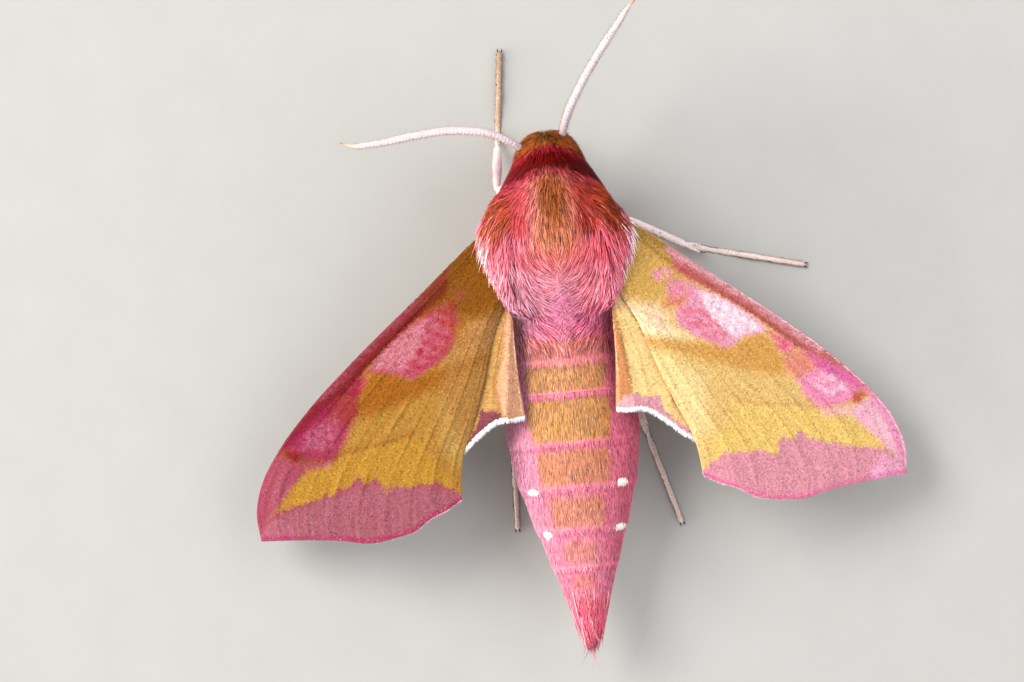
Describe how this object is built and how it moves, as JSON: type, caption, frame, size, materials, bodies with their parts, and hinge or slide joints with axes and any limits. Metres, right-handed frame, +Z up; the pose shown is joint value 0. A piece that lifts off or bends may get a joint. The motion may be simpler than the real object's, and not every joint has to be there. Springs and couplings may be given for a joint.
{
  "type": "small elephant hawk moth",
  "caption": "Life-size still model of a hawk moth at rest, wings swept back like a delta, spindle-shaped furry body, curved feelers and slim legs.",
  "frame": {"origin": "on the floor, under the centre of the box round the whole moth; the wing roots are 6.62 mm in front of it", "axes": "+Y towards the head, +X towards the moth's right side, +Z up from the floor it stands on"},
  "size_m": [0.038, 0.038, 0.0106],
  "materials": {
    "olive_fur": "rust and olive hair, matte",
    "pink_fur": "rose pink hair with ochre bands, matte",
    "eye": "dark brown, glossy, finely faceted",
    "pale_scale": "off-white fine scales, matte",
    "wing_scale": "ochre and rose scales, soft sheen"
  },
  "bodies": {
    "root": {"head": "olive_fur", "collar": "pink_fur", "thorax": "pink_fur", "abdomen": "pink_fur", "tail": "pink_fur", "tegula_left": "pink_fur", "tegula_right": "pink_fur", "palp_left": "pink_fur", "palp_right": "pink_fur", "eye_left": "eye", "eye_right": "eye", "antenna_left": "pale_scale", "antenna_right": "pale_scale", "forewing_left": "wing_scale", "forewing_right": "wing_scale", "hindwing_left": "wing_scale", "hindwing_right": "wing_scale", "leg_front_left": "pale_scale", "leg_front_right": "pale_scale", "leg_middle_left": "pale_scale", "leg_middle_right": "pale_scale", "leg_hind_left": "pale_scale", "leg_hind_right": "pale_scale"}
  },
  "joints": []
}
